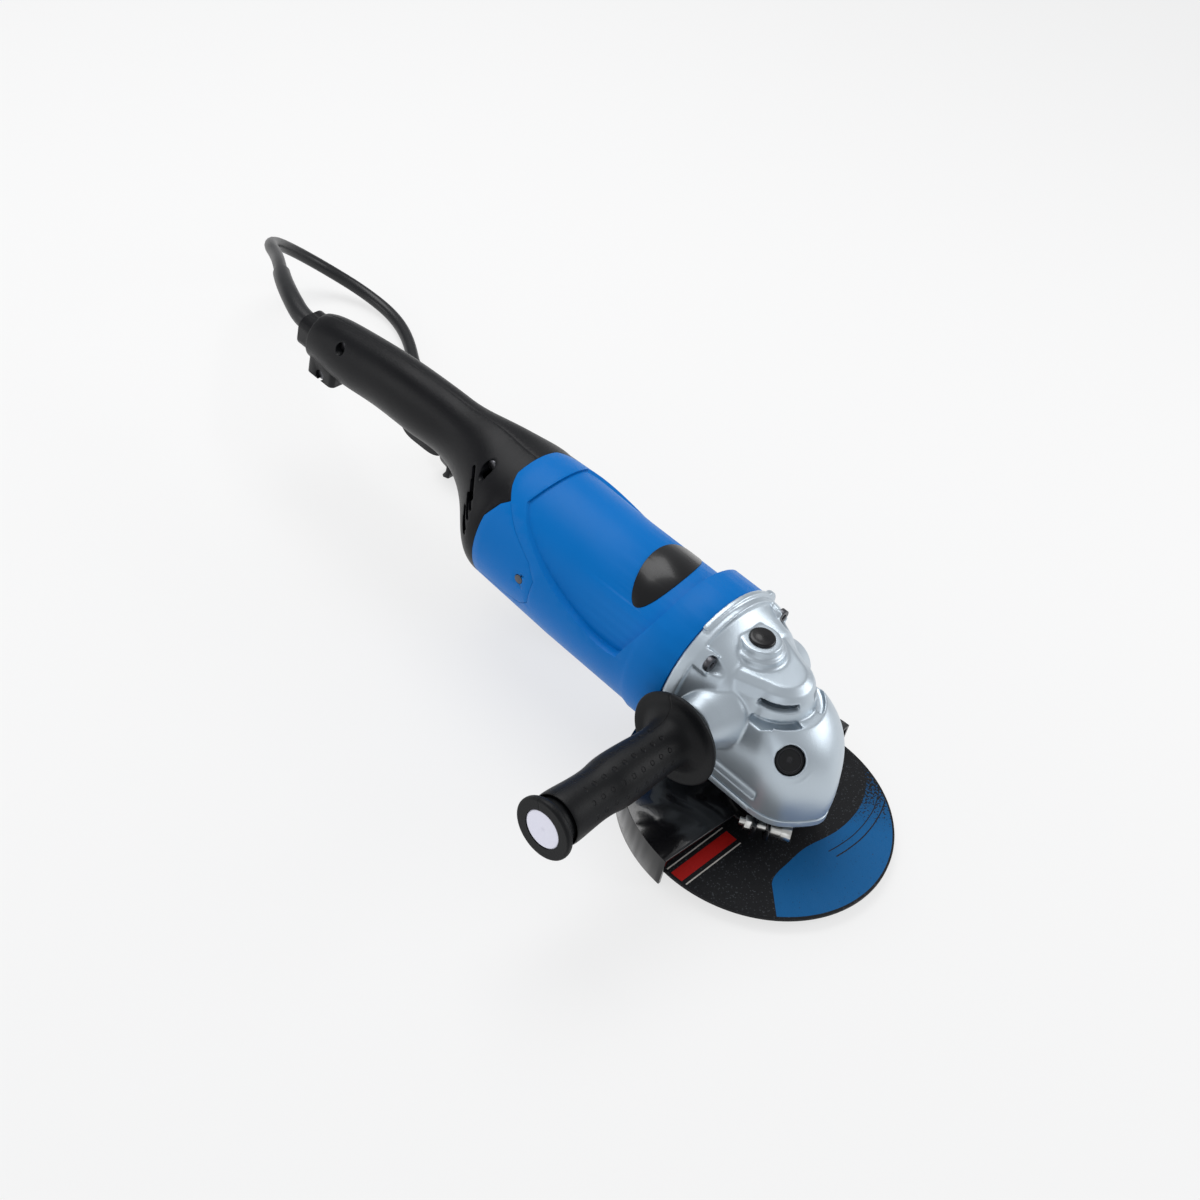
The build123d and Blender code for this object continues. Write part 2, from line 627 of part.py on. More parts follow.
for way, word in ((-1, "right"), (1, "left")):
    with BuildPart() as brush_cover:
        turn_on_motor(body_outline() + [(x, r - cover_sheet_r) for x, r in reversed(body_outline())])
        add(cover_zone.part, mode=Mode.INTERSECT)
        add(rear_zone.part, mode=Mode.SUBTRACT)
        split(bisect_by=Plane.XZ, keep=Keep.TOP if way < 0 else Keep.BOTTOM)
        rod((cover_screw[0], way * 60, motor_h + cover_screw[1]), (0, -way, 0), 3.4, 60 - cover_screw_seat,
            Mode.SUBTRACT)
        rod((cover_screw[0], way * 60, motor_h + cover_screw[1]), (0, -way, 0), 1.9, 30.0, Mode.SUBTRACT)
    save(f"brush_cover_{word}", brush_cover)

with BuildPart() as cover_screws_side:
    for way in (1, -1):
        head = (cover_screw[0], way * (cover_screw_seat + 1.25), motor_h + cover_screw[1])
        rod(head, (0, -way, 0), 3.1, 1.2)
        rod(head, (0, -way, 0), 1.5, 9.5)
save("brush_cover_screws", cover_screws_side)

with BuildPart() as motor_housing:
    turn_on_motor([(head_back, 0), *body_outline(), (handle_front, 0)])
    add(sunk_panel.part, mode=Mode.SUBTRACT)
    ring_on_motor(bore_r, 0, head_back - 150, head_back, Mode.SUBTRACT)
    ring_on_motor(bore_r, 0, handle_front - 1, -214.0, Mode.SUBTRACT)
    add(rear_zone.part, mode=Mode.SUBTRACT)
    # web with the rear bearing's seat, on four arms
    ring_on_motor(rear_bearing_r + 4, rear_bearing_r + fit / 2, rear_bearing[0] - 1, rear_bearing[1] + 1)
    ring_on_motor(rear_bearing_r + 1, shaft_r + 2, rear_bearing[1] + 0.3, rear_bearing[1] + 3)
    with BuildSketch(across(-224.0)) as arms:
        for angle in screw_angles:
            with Locations(Rotation(0, 0, angle)):
                with Locations((rear_bearing_r + 18.5, 0)):
                    Rectangle(33.0, 5.0)
    extrude(arms.sketch, amount=5.0)
    # ribs that hold the field
    with BuildSketch(across(stator[0] - 2)) as ribs:
        with PolarLocations((stator_r + bore_r) / 2 + 0.6, 8, start_angle=22.5):
            Rectangle(bore_r - stator_r + 1.0, 5.0)
    extrude(ribs.sketch, amount=stator_length + 4, mode=Mode.ADD)
    ring_on_motor(stator_r + fit, 0, *stator, Mode.SUBTRACT)
    for angle in screw_angles:
        rod((head_back + 1, *screw_spot(angle)), (-1, 0, 0), 2.6, 24.0, Mode.SUBTRACT)
    # seats of the brush covers, the brush holders and the badge
    add(cover_seats.part, mode=Mode.SUBTRACT)
    for way in (1, -1):
        rod((cover_screw[0], way * bore_r, motor_h + cover_screw[1]), (0, -way, 0), 4.0, 3.0)
        rod((cover_screw[0], way * 60, motor_h + cover_screw[1]), (0, -way, 0), 1.6, 30.0, Mode.SUBTRACT)
    add(badge_seat.part, mode=Mode.SUBTRACT)
save("motor_housing", motor_housing)

# --- Brush gear, fan baffle ------------------------------------------------------------

brush = (10.0, 6.0)         # along the shaft and across it
brush_x = (commutator[0] + commutator[1]) / 2
holder_wall = 1.2
brush_length = 19.0
holder_end = 43.2


def bar(start, direction, width, height, length, mode=Mode.ADD):
    """A square bar from a point; width is along the motor's axis."""
    with BuildSketch(Plane(origin=start, x_dir=(1, 0, 0), z_dir=direction)) as end:
        Rectangle(width, height)
    extrude(end.sketch, amount=length, mode=mode)


def coil_spring(start, direction, radius, wire_r, turns, length):
    """A helical spring from a point, along a direction."""
    place = Plane(origin=start, z_dir=direction)
    helix = place * Helix(pitch=length / turns, height=length, radius=radius)
    with BuildSketch(Plane(origin=helix @ 0, z_dir=helix % 0)) as wire:
        Circle(wire_r)
    sweep(wire.sketch, path=helix)


with BuildPart() as brush_holders:
    for way in (1, -1):
        start = (brush_x, way * (commutator_r + 2.0), motor_h)
        bar(start, (0, way, 0), brush[0] + 0.2 + 2 * holder_wall, brush[1] + 0.2 + 2 * holder_wall,
            holder_end - commutator_r - 2.0)
        bar(start, (0, way, 0), brush[0] + 0.2, brush[1] + 0.2,
            holder_end - commutator_r - 2.0 - holder_wall, Mode.SUBTRACT)
save("brush_holders", brush_holders)

with BuildPart() as carbon_brushes:
    for way in (1, -1):
        bar((brush_x, way * (commutator_r + 0.3), motor_h), (0, way, 0), *brush, brush_length)
save("carbon_brushes", carbon_brushes)

with BuildPart() as brush_springs:
    for way in (1, -1):
        inner_end = commutator_r + brush_length + 0.9
        coil_spring((brush_x, way * inner_end, motor_h), (0, way, 0), 2.2, 0.35, 4,
                    holder_end - holder_wall - 0.6 - inner_end)
save("brush_springs", brush_springs)

with BuildPart() as air_baffle:
    turn_on_motor([(-112.0, 42.0), (-112.0, bore_r - fit), (-105.0, bore_r - fit), (-105.0, 34.0),
                   (-107.0, 34.0), (-107.0, 42.0)])
save("air_baffle", air_baffle)

# --- Spindle lock and socket plug ------------------------------------------------------

lock_pin_tip = 8.6
with BuildPart() as lock_button:
    rod(lock_face, -lock_dir, lock_button_r, lock_button_t)
    fillet(lock_button.edges().sort_by(lambda e: e.center().dot(lock_dir))[-1], 1.2)
    rod(lock_face + lock_dir, -lock_dir, 1.3, 1.7, Mode.SUBTRACT)
    rod(lock_face - lock_dir * (lock_button_t - 1.8), -lock_dir, lock_pin_r + 0.02, 2.0, Mode.SUBTRACT)
save("lock_button", lock_button)

with BuildPart() as lock_pin:
    rod(lock_face - lock_dir * (lock_button_t - 1.7), -lock_dir, lock_pin_r,
        lock_pin_tip - lock_button_t + 1.7)
save("lock_pin", lock_pin)

with BuildPart() as lock_spring:
    coil_spring(lock_face - lock_dir * (lock_button_t + 0.5), -lock_dir, 5.0, 0.4, 2.5,
                lock_travel - 0.7)
save("lock_spring", lock_spring)

with BuildPart() as top_plug:
    with BuildSketch(Plane(origin=(boss_x, 0, 0), x_dir=(1, 0, 0), z_dir=(0, -1, 0))) as cap:
        with BuildLine():
            rim = Polyline((0, boss_top + 2.6), (0, boss_top - 10.5), (socket_r - fit, boss_top - 10.5),
                           (socket_r - fit, boss_top), (8.7, boss_top), (8.7, boss_top + 0.8))
            Spline(rim @ 1, (5.4, boss_top + 2.1), rim @ 0, tangents=((-0.3, 1), (-1, 0)))
        make_face()
    revolve(axis=Axis((boss_x, 0, 0), (0, 0, 1)))
save("top_plug", top_plug)

# --- Side handle, screwed into the right-hand socket -----------------------------------

side_plane = Plane(origin=(side_boss_x, 0, motor_h), x_dir=(0, -1, 0), z_dir=(1, 0, 0))
side_axis = Axis((side_boss_x, 0, motor_h), (0, -1, 0))
grip_base = side_boss_end + 1.2
side_tail = grip_base + side_grip_len - 5.0     # where the end flange starts
grip_end = grip_base + side_grip_len + 2.6
stud_depth = 17.0
plug_r = 13.0


def turn_on_side(points, mode=Mode.ADD):
    """Turns an outline of (distance from the middle plane, radius) about the side handle's axis."""
    revolve(outline(side_plane, points), axis=side_axis, mode=mode)


with BuildPart() as side_handle_grip:
    with BuildSketch(side_plane) as half_section:
        with BuildLine():
            base = Polyline((grip_base + 27, 0), (grip_base + 27, socket_r + fit),
                            (grip_base, socket_r + fit), (grip_base, 13.0), (grip_base + 8, 13.5))
            cup = Spline(base @ 1, (grip_base + 9.2, 24.0), (grip_base + 12.5, 31.0),
                         tangents=((0, 1), (1, 0.4)))
            rim = Spline(cup @ 1, (grip_base + 14.6, 32.0), (grip_base + 15.8, 30.8),
                         tangents=((1, 0.4), (0.1, -1)))
            back = Spline(rim @ 1, (grip_base + 15.2, 24.0), (grip_base + 18.5, 18.6),
                          (grip_base + 27, 15.9), (grip_base + 45, 16.4), (grip_base + 75, 17.3),
                          (side_tail - 24, 16.4), (side_tail - 8, 15.0), (side_tail, 16.0),
                          tangents=((0, -1), (1, 0.25)))
            tip = Spline(back @ 1, (side_tail + 2.5, 19.6), (side_tail + 5.0, 20.8),
                         (grip_end, 19.4), tangents=((1, 0.25), (0, -1)))
            Polyline(tip @ 1, (grip_end, plug_r + fit), (grip_end - 6, plug_r + fit), (grip_end - 6, 0),
                     base @ 0)
        make_face()
    revolve(axis=side_axis)
save("side_handle_grip", side_handle_grip)

with BuildPart() as side_handle_stud:
    turn_on_side([(side_boss_end - stud_depth, 0), (side_boss_end - stud_depth, socket_r - 1.0),
                  (side_boss_end - stud_depth + 1.0, socket_r - fit / 2),
                  (grip_base + 26.5, socket_r - fit / 2), (grip_base + 26.5, 0)])
    turn_on_side([(side_boss_end + 0.02, socket_r - 1), (side_boss_end + 0.02, 12.0),
                  (grip_base - 0.02, 12.0), (grip_base - 0.02, socket_r - 1)])
save("side_handle_stud", side_handle_stud)

with BuildPart() as side_handle_cap:
    turn_on_side([(grip_end - 5.8, 0), (grip_end - 5.8, plug_r), (grip_end - 0.8, plug_r),
                  (grip_end - 0.3, plug_r - 0.8), (grip_end - 0.8, 0)])
save("side_handle_cap", side_handle_cap)

# --- Guard and its clamp ----------------------------------------------------------------

guard_r = disc_r + guard_gap
guard_half = 88.0            # the guard covers this angle either side of the tool's back
clamp_angle = -58.0
band_t = 2.2
band_top = 23.5
ear_t = 3.0
ear_gap = 6.0
ear_reach = 40.0
clamp_z = 18.6

with BuildPart() as guard:
    with BuildSketch(Plane.XY.offset(guard_top - guard_sheet)) as plate:
        with BuildLine():
            rim = CenterArc((0, 0), guard_r + guard_sheet, 180 - guard_half, 2 * guard_half)
            Polyline(rim @ 1, (0, 0), rim @ 0)
        make_face()
        Circle(31.0)
        Circle(neck_r + free, mode=Mode.SUBTRACT)
    extrude(amount=guard_sheet)
    with BuildSketch(Plane.XY.offset(floor_z)) as skirt:
        with BuildLine():
            outer_arc = CenterArc((0, 0), guard_r + guard_sheet, 180 - guard_half, 2 * guard_half)
            inner_arc = CenterArc((0, 0), guard_r, 180 - guard_half, 2 * guard_half)
            Line(outer_arc @ 0, inner_arc @ 0)
            Line(outer_arc @ 1, inner_arc @ 1)
        make_face()
    extrude(amount=guard_top - floor_z)
save("guard", guard)

clamp_out = Vector(cos(radians(clamp_angle)), sin(radians(clamp_angle)), 0)
clamp_along = Vector(-clamp_out.Y, clamp_out.X, 0)
clamp_middle = clamp_out * (ear_reach - 6.5) + Vector(0, 0, clamp_z)

with BuildPart() as guard_band:
    with BuildSketch(Plane(origin=(0, 0, guard_top), x_dir=clamp_out, z_dir=(0, 0, 1))) as band_shape:
        Circle(neck_r + free + band_t)
        for way in (1, -1):
            with Locations(((neck_r + ear_reach) / 2 + 1, way * (ear_gap + ear_t) / 2)):
                Rectangle(ear_reach - neck_r - 2, ear_t)
        with Locations((neck_r + 4, 0)):
            Rectangle(16, ear_gap, mode=Mode.SUBTRACT)
        Circle(neck_r + free, mode=Mode.SUBTRACT)
    extrude(amount=band_top - guard_top)
    rod(clamp_middle - clamp_along * 20, clamp_along, 2.8, 40, Mode.SUBTRACT)
save("guard_band", guard_band)

with BuildPart() as clamp_screw:
    ear_face = ear_gap / 2 + ear_t
    rod(clamp_middle - clamp_along * (ear_face + 8), clamp_along, 2.6, 2 * ear_face + 16)
    rod(clamp_middle + clamp_along * (ear_face + 0.02), clamp_along, 4.4, 7.0)
    rod(clamp_middle + clamp_along * (ear_face + 7.0), clamp_along, 5.2, 6.5)
save("clamp_screw", clamp_screw)

with BuildPart() as clamp_nut:
    with BuildSketch(Plane(origin=clamp_middle - clamp_along * (ear_face + 0.02), z_dir=-clamp_along)):
        RegularPolygon(4.9, 6)
        Circle(2.6 + 0.05, mode=Mode.SUBTRACT)
    extrude(amount=4.5)
save("clamp_nut", clamp_nut)

# --- Rear handle: two shells, switch, trigger -------------------------------------------

# (x, half width, half height, centre over the motor's axis)
handle_sections = [(handle_front, body_taper_r, body_taper_r, 0.0), (-255.0, 44.0, 44.4, 5.7), (-270.0, 32.8, 36.0, 15.4),
                   (-285.0, 25.2, 29.0, 21.4), (-300.0, 20.9, 25.0, 23.9), (-316.0, 19.4, 23.8, 25.0),
                   (-345.0, 19.6, 24.2, 23.8), (-375.0, 19.2, 23.4, 22.5),
                   (-405.0, 19.0, 23.0, 19.0), (-430.0, 17.4, 21.1, 17.0),
                   (handle_end, 15.0, 18.4, 14.2)]
cable_z = 16.7               # the cable's axis over the motor's
gland_end = -458.0
lug = (-444.0, -417.0)
lug_half = 13.5
lug_drop = -9.0
handle_screws = [(-411.5, 31.0), (-255.0, 40.5), (-259.0, -22.0), (-430.0, -5.0)]
screw_shank_r = 1.9
screw_head_r = 3.8
trigger = (-356.0, -313.0)
trigger_half = 6.0
trigger_floor = -5.6
trigger_play = 0.6
trigger_pivot = (trigger[0] + 4.5, motor_h + 7.5)   # pin at the lever's rear end
trigger_pin_r = 1.5
trigger_pin_half = 13.0


def handle_loft(shrink):
    """The handle's outer form, or with shrink its hollow."""
    faces = []
    for x, half_w, half_h, rise in handle_sections:
        with BuildSketch(across(x)) as ring:
            with Locations((0, rise)):
                Ellipse(half_w - shrink, half_h - shrink)
        faces.append(ring.sketch)
    return loft(faces, mode=Mode.PRIVATE)


lock_tab = (-308.6, -304.8)
lock_tab_travel = 2.6
lock_tab_half = 4.0
lamp_x = (trigger[1] + lock_tab[0]) / 2
lamp_r = 0.9
boot_start_r = 7.4
# middle of each slot (x, z over the motor's axis), its slope in degrees, and the lengths
vents = [(-258.0, 30.0, 41.0), (-254.0, 24.5, 45.0), (-252.0, 18.0, 49.0), (-250.5, 10.5, 54.0),
         (-249.0, 6.0, 60.0)]
vent_lengths = [20.0, 19.0, 17.0, 16.0, 13.0]
vent_width = 3.0


def screw_seat(x, z):
    """How far from the middle plane a shell screw's head sits."""
    return 9.0 if x < -400 else 20.0


def vent_plane(number):
    """Plane of a slanted slot on the neck's side: the slots fan out and step down."""
    x, z, slope = vents[number]
    along = Vector(cos(radians(slope)), 0, -sin(radians(slope)))
    return Plane(origin=(x, 0, motor_h + z), x_dir=along, z_dir=(0, -1, 0))


handle_form = handle_loft(0)
with BuildPart() as handle_bosses:
    for x, z in handle_screws:
        rod((x, -60, motor_h + z), (0, 1, 0), 5.4, 120)
    add(handle_form, mode=Mode.INTERSECT)

with BuildPart() as handle_hollow:
    add(handle_loft(wall))
    # leaves the end wall and, at the front, a rim
    with BuildSketch(across(handle_end + 2.5)):
        Circle(80)
    extrude(amount=handle_front - 3.0 - (handle_end + 2.5), mode=Mode.INTERSECT)

with BuildPart() as handle_body:
    add(handle_form)
    # front ring, shaped to the housing's rear edge
    turn_on_motor([(-240, 0), (-240, 47.6), (handle_front, 47.6), (handle_front, body_taper_r),
                   (-222, 50.2), (-222, 0)])
    add(rear_zone_inside.part, mode=Mode.SUBTRACT)
    ring_on_motor(bore_r - fit, bore_r - 3, -242, rear_bearing[0] - 1.5)
    with BuildSketch(across(gland_end)) as gland:
        with Locations((0, cable_z - 2.5)):
            RectangleRounded(24, 24, 7.5)
    extrude(amount=13)
    with BuildSketch(Plane.XY.offset(motor_h + lug_drop)) as lug_shape:
        with Locations(((lug[0] + lug[1]) / 2, 0)):
            RectangleRounded(lug[1] - lug[0], 2 * lug_half, 4)
    extrude(amount=22)
    add(handle_hollow.part, mode=Mode.SUBTRACT)
    ring_on_motor(bore_r - 3, 0, -243, -221, Mode.SUBTRACT)
    add(handle_bosses.part)
    rod((gland_end - 1, 0, motor_h + cable_z), (1, 0, 0), boot_start_r + 0.2, 15.5, Mode.SUBTRACT)
    # opening for the trigger, with the lock's slot in front of it
    with BuildSketch(Plane.XY.offset(motor_h - 20)) as hole:
        with Locations(((trigger[0] + trigger[1]) / 2, 0)):
            Rectangle(trigger[1] - trigger[0] + 2 * trigger_play, 2 * (trigger_half + trigger_play))
        with Locations(((lock_tab[0] + lock_tab[1] + lock_tab_travel) / 2, 0)):
            Rectangle(lock_tab[1] - lock_tab[0] + lock_tab_travel + 2 * trigger_play,
                      2 * (lock_tab_half + trigger_play))
    extrude(amount=30, mode=Mode.SUBTRACT)
    rod((lamp_x, 0, motor_h + 2.6), (0, 0, -1), lamp_r + fit / 2, 12.0, Mode.SUBTRACT)
    rod((trigger_pivot[0], -trigger_pin_half - fit, trigger_pivot[1]), (0, 1, 0),
        trigger_pin_r + fit / 2, 2 * (trigger_pin_half + fit), Mode.SUBTRACT)
    for x, z in handle_screws:
        rod((x, -60, motor_h + z), (0, 1, 0), screw_head_r + 0.4, 60 - screw_seat(x, z), Mode.SUBTRACT)
        rod((x, -60, motor_h + z), (0, 1, 0), screw_shank_r + 0.1, 60 + 12.0, Mode.SUBTRACT)
    # the upper front screw's recess is drawn out to a drop
    drop_x, drop_z = handle_screws[1]
    rod((drop_x + 0.6, -60, motor_h + drop_z - 3.2), (0, 1, 0), 3.2, 60 - screw_seat(drop_x, drop_z),
        Mode.SUBTRACT)
    # slanted air slots on both sides of the neck
    for number, length in enumerate(vent_lengths):
        with BuildSketch(vent_plane(number)) as vent:
            SlotOverall(length, vent_width)
        extrude(vent.sketch, amount=60, both=True, mode=Mode.SUBTRACT)

for way, word in ((-1, "right"), (1, "left")):
    with BuildPart() as handle_shell:
        add(handle_body.part)
        split(bisect_by=Plane.XZ, keep=Keep.TOP if way < 0 else Keep.BOTTOM)
    save(f"handle_shell_{word}", handle_shell)

with BuildPart() as shell_screws:
    for x, z in handle_screws:
        seat = screw_seat(x, z)
        rod((x, -seat, motor_h + z), (0, -1, 0), screw_head_r, 2.6)
        rod((x, -seat, motor_h + z), (0, 1, 0), screw_shank_r, seat + 11.0)
save("handle_screws", shell_screws)

switch_z = motor_h + 15.6
with BuildPart() as switch_body:
    with BuildSketch(Plane.XY.offset(switch_z)):
        with Locations(((trigger[0] + trigger[1]) / 2, 0)):
            Rectangle(36, 20)
    extrude(amount=23)
    fillet(switch_body.edges().filter_by(Axis.Z), 1.5)
save("switch_body", switch_body)

with BuildPart() as trigger_lever:
    with BuildSketch(Plane.XZ) as lever:
        with BuildLine():
            top = Line((trigger[0] + 0.6, motor_h + 11.5), (trigger[1] - 1.0, motor_h + 8.5))
            under = Spline(top @ 1, (trigger[1] - 0.8, motor_h), (trigger[1] - 6, motor_h - 3.8),
                           (trigger[1] - 22, motor_h + trigger_floor), (trigger[0] + 8, motor_h - 4.4),
                           (trigger[0] + 0.6, motor_h + 2.5))
            Line(under @ 1, top @ 0)
        make_face()
    extrude(amount=trigger_half, both=True)
    rod((trigger_pivot[0], -20, trigger_pivot[1]), (0, 1, 0), trigger_pin_r + fit, 40, Mode.SUBTRACT)
save("trigger", trigger_lever)

with BuildPart() as trigger_pin:
    rod((trigger_pivot[0], -trigger_pin_half, trigger_pivot[1]), (0, 1, 0), trigger_pin_r,
        2 * trigger_pin_half)
save("trigger_pin", trigger_pin)

with BuildPart() as trigger_spring:
    coil_spring((trigger[1] - 10, 0, switch_z - 0.5), (0, 0, -1), 3.0, 0.4, 3, 5.4)
save("trigger_spring", trigger_spring)

with BuildPart() as lock_off_tab:
    with BuildSketch(Plane.XZ) as tab:
        with BuildLine():
            Polyline((lock_tab[0], motor_h + 3.0), (lock_tab[1], motor_h + 3.0),
                     (lock_tab[1], motor_h - 10.0), (lock_tab[1] - 0.5, motor_h - 16.5),
                     (lock_tab[0] - 1.5, motor_h - 18.0), (lock_tab[0] - 2.6, motor_h - 16.5),
                     (lock_tab[0], motor_h - 11.5), close=True)
        make_face()
    extrude(amount=lock_tab_half, both=True)
save("lock_off_tab", lock_off_tab)

with BuildPart() as power_lamp:
    rod((lamp_x, 0, motor_h + 2.5), (0, 0, -1), lamp_r, 8.3)
save("power_lamp", power_lamp)

# --- Cord --------------------------------------------------------------------------------

cord_r = cord_d / 2
lying = floor_z + cord_r + 0.2       # height of the cord's line where it lies down
boot_end_r = 6.3
exit_z = motor_h + cable_z

coil_centre = Vector(-205.0, 72.0, 0)
coil_turns = (49.0, 59.0)            # radii of the turns, which lie in two layers
coil_skin = 0.5                      # the coil's solid is this much larger than its turns
coil_height = 2 * cord_d + 0.6
tail_angle = 230.0                   # where the plug's end leaves the coil

# control line of the cord, from the handle to the coil, and from the coil to the plug
route = [(gland_end + 12, 0, exit_z), (gland_end - 10, 0, exit_z), (-489, 8, exit_z + 0.5),
         (-511, 20, exit_z - 3), (-532, 35, exit_z - 9), (-553, 51, exit_z - 18), (-580, 67, 67),
         (-597, 90, 50), (-599, 116, 30), (-586, 140, 12), (-560, 156, 1), (-528, 160, lying),
         (-498, 149, lying), (-467, 127, lying), (-430, 112, lying), (-385, 107, lying),
         (-335, 108, lying), (-290, 114, lying), (-250, 125.5, lying),
         (coil_centre.X - 6, coil_centre.Y + coil_turns[1], lying)]
plug_r_body = 18.0
plug_length = 46.0
plug_z = floor_z + plug_r_body + 0.2
plug_end = Vector(-324.0, 70.0, plug_z)
tail_start = coil_centre + Vector(coil_turns[1] * cos(radians(tail_angle)),
                                  coil_turns[1] * sin(radians(tail_angle)), lying + cord_d)
tail = [tuple(tail_start), (-261, 42, tail_start.Z + 0.4), (-281, 55, plug_z - 1.0), (-302, 65.5, plug_z),
        tuple(plug_end)]
plug_dir = (plug_end - Vector(tail[-2])).normalized()


def turn_between(one, corner, other):
    """Angle that the route turns by at a corner, in degrees."""
    return (Vector(corner) - Vector(one)).get_angle(Vector(other) - Vector(corner))


def corner_radii(points):
    """Arc radius at each corner: as large as the two runs beside it allow."""
    radii = []
    for one, corner, other in zip(points, points[1:], points[2:]):
        run = min((Vector(corner) - Vector(one)).length, (Vector(other) - Vector(corner)).length)
        radii.append(0.45 * run / tan(radians(turn_between(one, corner, other)) / 2))
    return radii


def cord_along(points):
    """Sweeps the cord's section along straight runs joined by arcs; returns the line."""
    radii = corner_radii(points)
    with BuildLine() as line:
        FilletPolyline(*points, radius=radii)
    path = line.wires()[0]
    with BuildSketch(Plane(origin=path @ 0, z_dir=path % 0)) as section:
        Circle(cord_r)
    sweep(section.sketch, path=path)
    print("arc radii", [round(r) for r in radii], "length", round(path.length, 1))
    return path


clamp_x = -428.0
inner_end = clamp_x + 16.0           # the cord's end inside the handle
with BuildPart() as cord_tube:
    cord_line = cord_along(route)
    rod(cord_line @ 0, (1, 0, 0), cord_r, inner_end - route[0][0])
print("volume over section times length",
      cord_tube.part.volume / (pi * cord_r ** 2 * (cord_line.length + inner_end - route[0][0])))
save("cord_tube", cord_tube)

with BuildPart() as cord_tail:
    tail_line = cord_along(tail)
print("volume over section times length", cord_tail.part.volume / (pi * cord_r ** 2 * tail_line.length))
save("cord_tail", cord_tail)

collar_reach = 2.2
boot_path = Wire(cord_line.edges()[:7])
with BuildPart() as cable_boot:
    faces = []
    for share, radius in ((0.0, boot_start_r), (1.0, boot_end_r)):
        with BuildSketch(Plane(origin=boot_path @ share, z_dir=boot_path % share)) as ring:
            Circle(radius)
        faces.append(ring.sketch)
    sweep(faces, path=boot_path, multisection=True)
    # the part inside the handle, with the collar that keeps it there
    rod(route[0], (1, 0, 0), boot_start_r, 5.0)
    rod((handle_end + 2.7, 0, exit_z), (1, 0, 0), boot_start_r + collar_reach, 2.3)
    rod(route[0], (1, 0, 0), cord_r + 0.1, 6.0, Mode.SUBTRACT)
    with BuildSketch(Plane(origin=boot_path @ 0, z_dir=boot_path % 0)) as hole:
        Circle(cord_r + 0.1)
    sweep(hole.sketch, path=boot_path, mode=Mode.SUBTRACT)
print("sleeve", boot_path.length, cable_boot.part.volume, len(cable_boot.part.solids()))
save("cable_sleeve", cable_boot)

with BuildPart() as cable_clamp:
    with BuildSketch(across(clamp_x)) as clamp_plate:
        with Locations((0, cable_z)):
            RectangleRounded(24, 15, 3)
            Circle(cord_r + 0.02, mode=Mode.SUBTRACT)
    extrude(amount=8)
save("cable_clamp", cable_clamp)

with BuildPart() as cord_coil:
    with BuildSketch(Plane.XY.offset(floor_z)):
        with Locations(coil_centre):
            Circle(coil_turns[1] + cord_r + coil_skin)
            Circle(coil_turns[0] - cord_r - coil_skin, mode=Mode.SUBTRACT)
    extrude(amount=coil_height)
    fillet(cord_coil.edges().filter_by(GeomType.CIRCLE), 4.0)
save("cord_coil", cord_coil)

tie_sheet = 1.2
with BuildPart() as cord_tie:
    middle_r = (coil_turns[0] + coil_turns[1]) / 2
    band_w = coil_turns[1] - coil_turns[0] + cord_d + 2 * coil_skin
    tie_angle = 320.0
    tie_at = coil_centre + Vector(middle_r * cos(radians(tie_angle)), middle_r * sin(radians(tie_angle)),
                                  floor_z + coil_height / 2)
    tie_plane = Plane(origin=tie_at, x_dir=(cos(radians(tie_angle)), sin(radians(tie_angle)), 0),
                      z_dir=(-sin(radians(tie_angle)), cos(radians(tie_angle)), 0))
    with BuildSketch(tie_plane) as tie_ring:
        Rectangle(band_w + 2 * tie_sheet, coil_height + 2 * tie_sheet)
        Rectangle(band_w + 0.5, coil_height + 0.5, mode=Mode.SUBTRACT)
        with Locations((0, coil_height)):
            Rectangle(2 * band_w, coil_height + 0.2, mode=Mode.SUBTRACT)
    extrude(amount=4.0, both=True)
save("cord_tie", cord_tie)

plug_axis = Axis(plug_end, plug_dir)
plug_section = Plane(origin=plug_end, x_dir=plug_dir, z_dir=plug_dir.cross(Vector(0, 0, 1)))
with BuildPart() as plug_body:
    revolve(outline(plug_section, [(0, 0), (0, 7.0), (12, 9.0), (20, 15.5), (28, plug_r_body),
                                   (plug_length - 1, plug_r_body), (plug_length, plug_r_body - 1),
                                   (plug_length, 0)]), axis=plug_axis)
save("plug_body", plug_body)

pin_r = 2.4
pin_length = 19.0
pin_offset = 9.5
with BuildPart() as plug_pins:
    for way in (1, -1):
        foot = plug_end + plug_dir * plug_length + plug_dir.cross(Vector(0, 0, 1)) * way * pin_offset
        rod(foot, plug_dir, pin_r, pin_length - pin_r / 2)
        rod(foot, plug_dir, pin_r / 2, pin_length)
save("plug_pins", plug_pins)
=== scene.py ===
import bpy
import math
from mathutils import Matrix, Vector


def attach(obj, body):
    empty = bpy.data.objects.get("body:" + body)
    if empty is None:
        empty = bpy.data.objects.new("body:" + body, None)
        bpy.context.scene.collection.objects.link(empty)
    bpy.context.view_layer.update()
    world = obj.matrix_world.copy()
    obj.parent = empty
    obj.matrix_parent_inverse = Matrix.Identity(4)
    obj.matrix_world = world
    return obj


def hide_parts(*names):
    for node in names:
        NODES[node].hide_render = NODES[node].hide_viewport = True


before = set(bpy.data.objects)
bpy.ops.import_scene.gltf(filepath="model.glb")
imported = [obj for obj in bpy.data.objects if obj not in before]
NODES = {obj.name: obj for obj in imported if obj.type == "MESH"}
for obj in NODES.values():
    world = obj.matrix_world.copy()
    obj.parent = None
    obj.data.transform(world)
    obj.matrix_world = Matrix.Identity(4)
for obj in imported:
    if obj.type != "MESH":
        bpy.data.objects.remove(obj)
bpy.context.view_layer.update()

MOTOR_H = 0.0793          # motor axis over the disc's seat
SIDE_HANDLE_X = -0.0379   # the side handle's axis
DISC_R = 0.090
